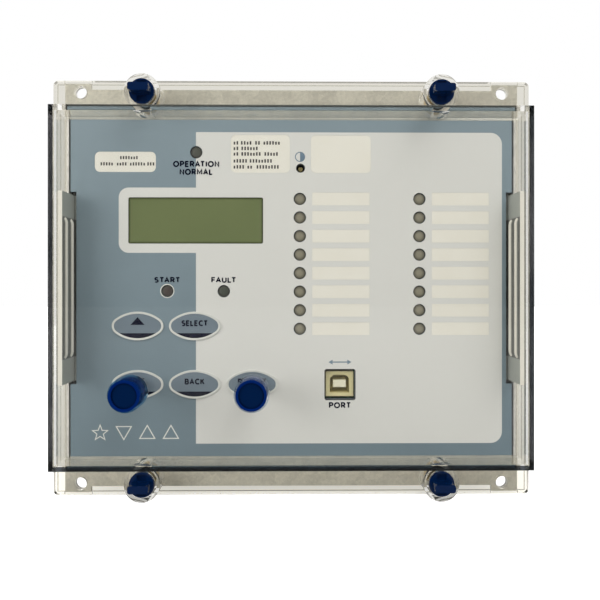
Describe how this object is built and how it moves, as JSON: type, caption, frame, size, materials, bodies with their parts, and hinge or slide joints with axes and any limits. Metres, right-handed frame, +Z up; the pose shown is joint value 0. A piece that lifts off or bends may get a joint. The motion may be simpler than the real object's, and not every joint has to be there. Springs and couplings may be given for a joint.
{
  "type": "protection relay",
  "caption": "Flush panel-mounting protection relay: withdrawable chassis in a steel case, lamp and key fascia, clear quarter-turn front cover with push-buttons, rear screw terminals.",
  "frame": {"origin": "centre of the four panel fixing holes on the panel face, the back of the front flange", "axes": "X to the right, Z up, the front looks towards -Y and the case reaches into the panel towards +Y"},
  "size_m": [0.2046, 0.2185, 0.1778],
  "materials": {
    "zinc_steel": "zinc coated sheet",
    "black_moulding": "matt",
    "plated_screws": "bright plating",
    "brass": "plain",
    "fascia_grey": "moulded",
    "printed_film": "printed film",
    "handle_grey": "moulded",
    "display_glass": "olive display",
    "lamp_lens": "diffuse lens",
    "card": "card",
    "board_green": "coated board",
    "socket_grey": "moulded",
    "plug_green": "moulded",
    "ring_core": "wound and taped",
    "relay_cans": "moulded",
    "iron_core": "laminated",
    "blue_sleeve": "sleeved can",
    "trimmer_blue": "moulded",
    "key_film": "printed",
    "clear_plastic": "clear moulding",
    "blue_plastic": "moulded"
  },
  "bodies": {
    "case": {"case_shell": "zinc_steel", "rear_plate": "zinc_steel", "terminal_block_left": "black_moulding", "terminal_block_middle": "black_moulding", "terminal_block_right": "black_moulding", "terminal_screws": "plated_screws", "terminal_plates": "brass", "block_screws": "plated_screws", "earth_stud": "brass", "earth_nut": "brass", "chassis_guides": "black_moulding", "cover_bushes": "brass"},
    "chassis": {"front_plate": "zinc_steel", "side_plate_left": "zinc_steel", "side_plate_right": "zinc_steel", "rear_frame": "zinc_steel", "frame_screws": "plated_screws", "fascia": "fascia_grey", "overlay": "printed_film", "handle_left": "handle_grey", "handle_right": "handle_grey", "lcd_frame": "black_moulding", "lcd_glass": "display_glass", "lamps_status": "lamp_lens", "lamps_left": "lamp_lens", "lamps_right": "lamp_lens", "label_cards": "card", "name_label": "card", "ratings_label": "card", "front_board": "board_green", "key_switches": "black_moulding", "trimmer_body": "trimmer_blue", "usb_shell": "socket_grey", "usb_tongue": "socket_grey", "board_headers": "black_moulding", "processor_board": "board_green", "analogue_board": "board_green", "power_board": "board_green", "board_plugs": "plug_green", "current_transformers": "ring_core", "output_relays": "relay_cans", "supply_transformer": "iron_core", "capacitors": "blue_sleeve"},
    "cover": {"cover": "clear_plastic", "button_spring_left": "plated_screws", "button_spring_right": "plated_screws"},
    "fastener_tl": {"fastener_tl": "blue_plastic"},
    "fastener_tr": {"fastener_tr": "blue_plastic"},
    "fastener_bl": {"fastener_bl": "blue_plastic"},
    "fastener_br": {"fastener_br": "blue_plastic"},
    "button_left": {"button_left": "blue_plastic", "button_clip_left": "plated_screws"},
    "button_right": {"button_right": "blue_plastic", "button_clip_right": "plated_screws"},
    "key_up": {"key_up": "key_film"},
    "key_enter": {"key_enter": "key_film"},
    "key_down": {"key_down": "key_film"},
    "key_cancel": {"key_cancel": "key_film"},
    "key_right": {"key_right": "key_film"},
    "trimmer": {"trimmer_screw": "brass"}
  },
  "joints": [
    {"name": "chassis_slide", "type": "slide", "parent": "case", "child": "chassis", "axis": [0, -1, 0], "range_m": [0, 0.18]},
    {"name": "cover_slide", "type": "slide", "parent": "chassis", "child": "cover", "axis": [0, -1, 0], "range_m": [0, 0.06]},
    {"name": "fastener_tl_turn", "type": "hinge", "parent": "cover", "child": "fastener_tl", "pos_m": [-0.062, -0.016, 0.0812], "axis": [0, -1, 0], "range_deg": [0, 90]},
    {"name": "fastener_tr_turn", "type": "hinge", "parent": "cover", "child": "fastener_tr", "pos_m": [0.062, -0.016, 0.0812], "axis": [0, -1, 0], "range_deg": [0, 90]},
    {"name": "fastener_bl_turn", "type": "hinge", "parent": "cover", "child": "fastener_bl", "pos_m": [-0.062, -0.016, -0.0812], "axis": [0, -1, 0], "range_deg": [0, 90]},
    {"name": "fastener_br_turn", "type": "hinge", "parent": "cover", "child": "fastener_br", "pos_m": [0.062, -0.016, -0.0812], "axis": [0, -1, 0], "range_deg": [0, 90]},
    {"name": "button_left_press", "type": "slide", "parent": "cover", "child": "button_left", "axis": [0, 1, 0], "range_m": [0, 0.002], "stiffness_N_per_m": 700, "springref_m": -0.001, "deforming": ["button_spring_left"]},
    {"name": "button_right_press", "type": "slide", "parent": "cover", "child": "button_right", "axis": [0, 1, 0], "range_m": [0, 0.002], "stiffness_N_per_m": 700, "springref_m": -0.001, "deforming": ["button_spring_right"]},
    {"name": "key_up_press", "type": "slide", "parent": "chassis", "child": "key_up", "axis": [0, 1, 0], "range_m": [0, 0.0008], "stiffness_N_per_m": 1500, "springref_m": -0.0004},
    {"name": "key_enter_press", "type": "slide", "parent": "chassis", "child": "key_enter", "axis": [0, 1, 0], "range_m": [0, 0.0008], "stiffness_N_per_m": 1500, "springref_m": -0.0004},
    {"name": "key_down_press", "type": "slide", "parent": "chassis", "child": "key_down", "axis": [0, 1, 0], "range_m": [0, 0.0008], "stiffness_N_per_m": 1500, "springref_m": -0.0004},
    {"name": "key_cancel_press", "type": "slide", "parent": "chassis", "child": "key_cancel", "axis": [0, 1, 0], "range_m": [0, 0.0008], "stiffness_N_per_m": 1500, "springref_m": -0.0004},
    {"name": "key_right_press", "type": "slide", "parent": "chassis", "child": "key_right", "axis": [0, 1, 0], "range_m": [0, 0.0008], "stiffness_N_per_m": 1500, "springref_m": -0.0004},
    {"name": "trimmer_turn", "type": "hinge", "parent": "chassis", "child": "trimmer", "pos_m": [0.0037, 0.003, 0.0519], "axis": [0, -1, 0], "range_deg": [-135, 135]}
  ]
}
